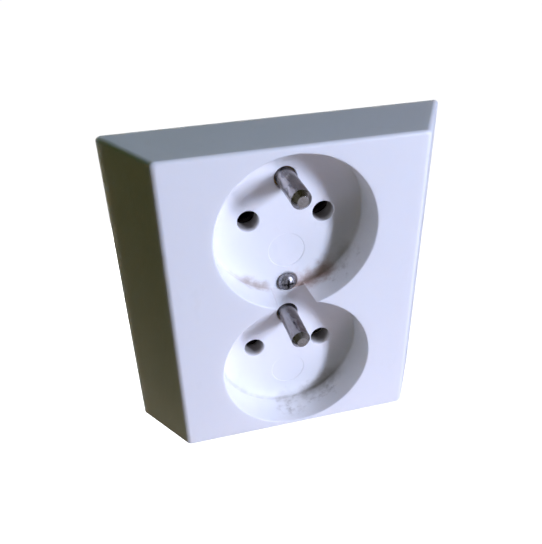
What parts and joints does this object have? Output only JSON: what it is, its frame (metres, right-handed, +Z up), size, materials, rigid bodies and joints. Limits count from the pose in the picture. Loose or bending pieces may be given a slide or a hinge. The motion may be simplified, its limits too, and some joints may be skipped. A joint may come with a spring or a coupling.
{
  "type": "double wall socket outlet",
  "caption": "Flush double wall socket outlet, type E: tapered white cover with round recesses and earth pins, on a ceramic base in a steel frame.",
  "frame": {"origin": "middle of the outlet on the wall plane, halfway between the two recesses", "axes": "+Y into the wall, so the front faces -Y; +Z up; +X to the right as seen from the front"},
  "size_m": [0.083, 0.0412, 0.0838],
  "materials": {
    "cover": "satin",
    "screw": "satin",
    "fibre": "matte",
    "brass": "satin",
    "base": "satin",
    "frame": "satin",
    "rivet": "satin",
    "strap": "satin",
    "sleeve": "satin",
    "pin": "satin",
    "clamp": "satin",
    "terminal_screw": "satin"
  },
  "bodies": {
    "base": {"socket_base": "base", "mounting_frame": "frame", "frame_rivet_1": "rivet", "frame_rivet_2": "rivet", "frame_rivet_3": "rivet", "frame_rivet_4": "rivet", "screw_bush": "brass", "earth_bar": "strap", "line_bar": "strap", "neutral_bar": "strap", "contact_sleeve_upper_line": "sleeve", "contact_sleeve_upper_neutral": "sleeve", "contact_sleeve_lower_line": "sleeve", "contact_sleeve_lower_neutral": "sleeve", "earth_pin_upper": "pin", "earth_pin_lower": "pin"},
    "cover": {"cover": "cover", "screw_retainer": "fibre"},
    "cover_screw": {"cover_screw": "screw"},
    "line_clamp": {"line_clamp": "clamp"},
    "line_terminal_screw": {"line_terminal_screw": "terminal_screw"},
    "neutral_clamp": {"neutral_clamp": "clamp"},
    "neutral_terminal_screw": {"neutral_terminal_screw": "terminal_screw"},
    "earth_clamp": {"earth_clamp": "clamp"},
    "earth_terminal_screw": {"earth_terminal_screw": "terminal_screw"}
  },
  "joints": [
    {"name": "cover_pull", "type": "slide", "parent": "base", "child": "cover", "axis": [0, -1, 0], "range_m": [0, 0.03]},
    {"name": "cover_screw_turn", "type": "hinge", "parent": "cover", "child": "cover_screw", "pos_m": [0, -0.00765, 0.00115], "axis": [0, -1, 0], "continuous": true},
    {"name": "line_clamp_lift", "type": "slide", "parent": "base", "child": "line_clamp", "axis": [0, 1, 0], "range_m": [0, 0.0025]},
    {"name": "line_screw_turn", "type": "hinge", "parent": "line_clamp", "child": "line_terminal_screw", "pos_m": [-0.0105, 0.0176, 0.00055], "axis": [0, 1, 0], "range_deg": [0, 1850]},
    {"name": "neutral_clamp_lift", "type": "slide", "parent": "base", "child": "neutral_clamp", "axis": [0, 1, 0], "range_m": [0, 0.0025]},
    {"name": "neutral_screw_turn", "type": "hinge", "parent": "neutral_clamp", "child": "neutral_terminal_screw", "pos_m": [0.0105, 0.0176, 0.00055], "axis": [0, 1, 0], "range_deg": [0, 1850]},
    {"name": "earth_clamp_lift", "type": "slide", "parent": "base", "child": "earth_clamp", "axis": [0, 1, 0], "range_m": [0, 0.0025]},
    {"name": "earth_screw_turn", "type": "hinge", "parent": "earth_clamp", "child": "earth_terminal_screw", "pos_m": [0, 0.0176, -0.0183], "axis": [0, 1, 0], "range_deg": [0, 1850]}
  ],
  "couplings": [
    {"joint": "line_screw_turn", "follows": "line_clamp_lift", "rad_per_m": 12566},
    {"joint": "neutral_screw_turn", "follows": "neutral_clamp_lift", "rad_per_m": 12566},
    {"joint": "earth_screw_turn", "follows": "earth_clamp_lift", "rad_per_m": 12566}
  ]
}
